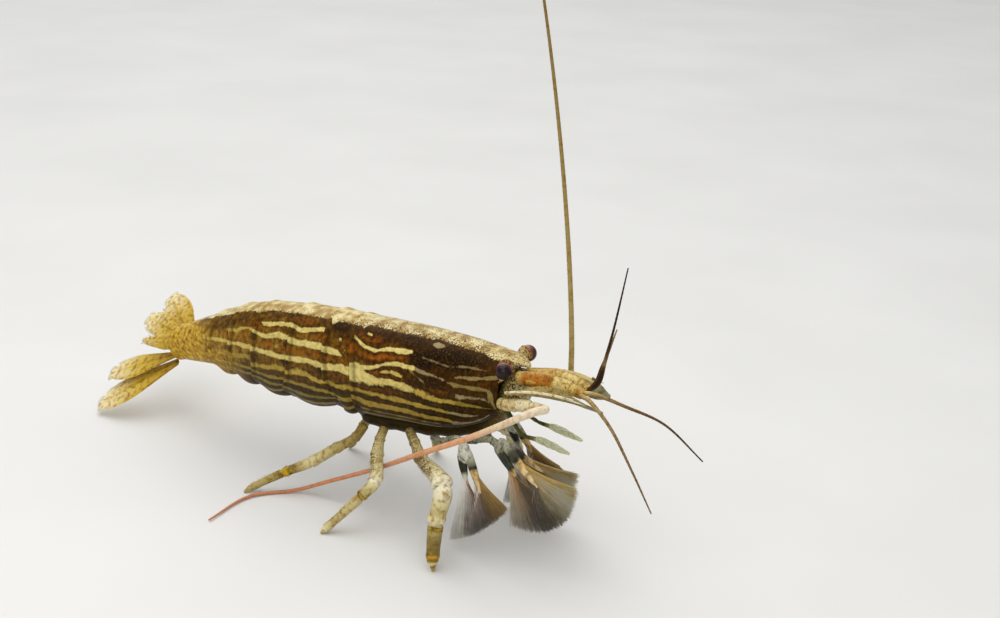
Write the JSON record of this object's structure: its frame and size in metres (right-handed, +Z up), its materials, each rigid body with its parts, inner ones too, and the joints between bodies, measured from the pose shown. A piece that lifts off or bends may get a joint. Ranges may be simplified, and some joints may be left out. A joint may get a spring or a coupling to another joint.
{
  "type": "bamboo shrimp model",
  "caption": "Life-size still model of a bamboo shrimp standing on its walking legs, bristle fans lowered, a long feeler raised and its pair trailing back.",
  "frame": {"origin": "on the floor under the middle of the whole animal, feelers and tail fan included", "axes": "+Y along the body towards the tail, so the head faces -Y; +X towards the animal's left; +Z up"},
  "size_m": [0.0346, 0.0948, 0.0741],
  "materials": {
    "bristle": "fine tan bristles",
    "claw_grey": "semi-gloss translucent grey with tan finger tips",
    "eye": "glossy dark purple-brown",
    "feeler_brown": "semi-gloss brown",
    "feeler_salmon": "semi-gloss salmon to orange",
    "head_cream": "semi-gloss cream and tan with orange-brown patches",
    "leg_amber": "semi-gloss pale amber with brown speckled edges",
    "mouth_green": "matt pale yellow-green, set with bristles",
    "shell_banded": "semi-gloss shell, orange-brown with cream stripes",
    "shell_dark": "semi-gloss shell, dark brown with wavy cream and orange-brown stripes",
    "tail_gold": "semi-gloss golden shell, thin and lightly translucent"
  },
  "bodies": {
    "root": {"carapace": "shell_dark", "abdomen_1": "shell_dark", "abdomen_2": "shell_banded", "abdomen_3": "shell_banded", "abdomen_4": "shell_banded", "abdomen_5": "shell_banded", "abdomen_6": "tail_gold", "telson": "tail_gold", "uropod_inner_right": "tail_gold", "uropod_outer_right": "tail_gold", "uropod_inner_left": "tail_gold", "uropod_outer_left": "tail_gold", "head": "head_cream", "thorax": "head_cream", "eye_right": "eye", "eyestalk_right": "head_cream", "antennule_right": "head_cream", "scale_right": "head_cream", "antenna_base_right": "head_cream", "maxilliped_right": "mouth_green", "eye_left": "eye", "eyestalk_left": "head_cream", "antennule_left": "head_cream", "scale_left": "head_cream", "antenna_base_left": "head_cream", "maxilliped_left": "mouth_green", "flagellum_outer_right": "feeler_brown", "flagellum_inner_right": "feeler_brown", "flagellum_outer_left": "feeler_brown", "flagellum_inner_left": "feeler_brown", "antenna_right": "feeler_salmon", "antenna_left": "feeler_brown", "arm_first_right": "claw_grey", "hand_first_right": "claw_grey", "brush_first_right": "bristle", "arm_first_left": "claw_grey", "hand_first_left": "claw_grey", "brush_first_left": "bristle", "arm_second_right": "claw_grey", "hand_second_right": "claw_grey", "brush_second_right": "bristle", "arm_second_left": "claw_grey", "hand_second_left": "claw_grey", "brush_second_left": "bristle", "leg_third_right": "leg_amber", "leg_fourth_right": "leg_amber", "leg_fifth_right": "leg_amber", "leg_third_left": "leg_amber", "leg_fourth_left": "leg_amber", "leg_fifth_left": "leg_amber", "swimmeret_1_right": "leg_amber", "swimmeret_1_left": "leg_amber", "swimmeret_2_right": "leg_amber", "swimmeret_2_left": "leg_amber", "swimmeret_3_right": "leg_amber", "swimmeret_3_left": "leg_amber", "swimmeret_4_right": "leg_amber", "swimmeret_4_left": "leg_amber", "swimmeret_5_right": "leg_amber", "swimmeret_5_left": "leg_amber"}
  },
  "joints": []
}
